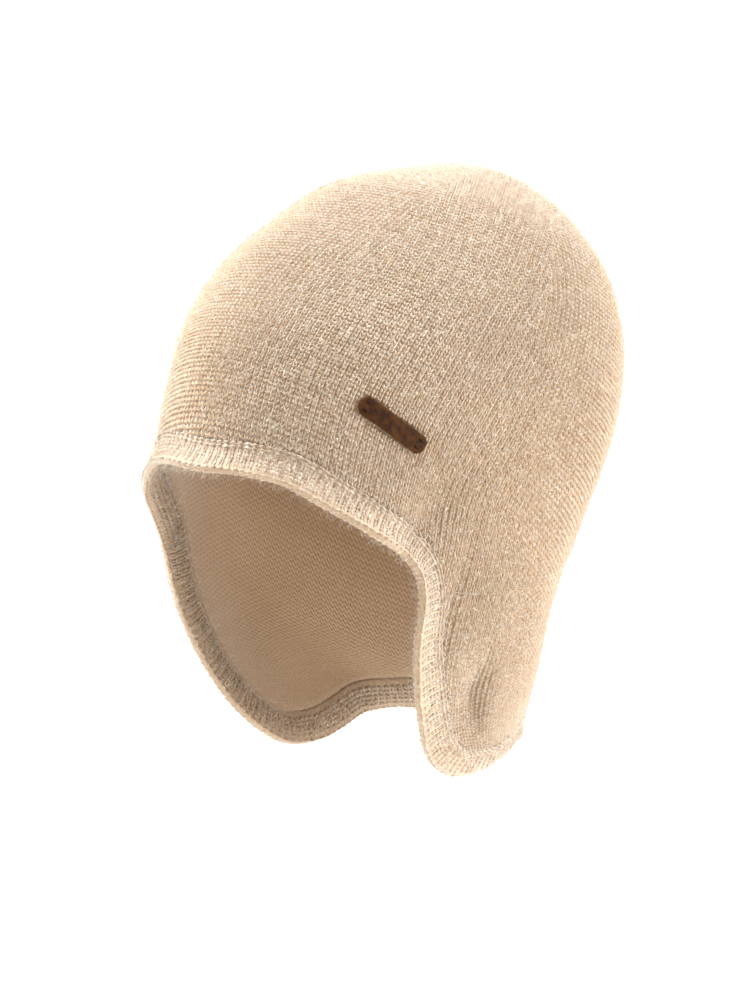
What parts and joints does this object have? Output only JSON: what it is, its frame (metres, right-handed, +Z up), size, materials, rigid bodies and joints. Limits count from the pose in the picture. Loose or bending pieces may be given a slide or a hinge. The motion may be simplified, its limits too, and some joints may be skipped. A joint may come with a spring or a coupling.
{
  "type": "earflap beanie",
  "caption": "Knitted cap with ear flaps and nape hanging below the brow, a thick edge band round the whole opening and a small bare leather tab on the side.",
  "frame": {"origin": "inside face of the crown, near its highest point, where the cap sits on a head", "axes": "+Z up, -Y out of the face opening, +X towards the wearer's left, where the leather tab is"},
  "size_m": [0.1664, 0.2157, 0.2416],
  "materials": {
    "knit": "brushed beige heather knit",
    "band": "ribbed beige knit",
    "leather": "dark brown, semi matte"
  },
  "bodies": {
    "root": {"knit_shell": "knit", "edge_band": "band", "leather_tab": "leather"}
  },
  "joints": []
}
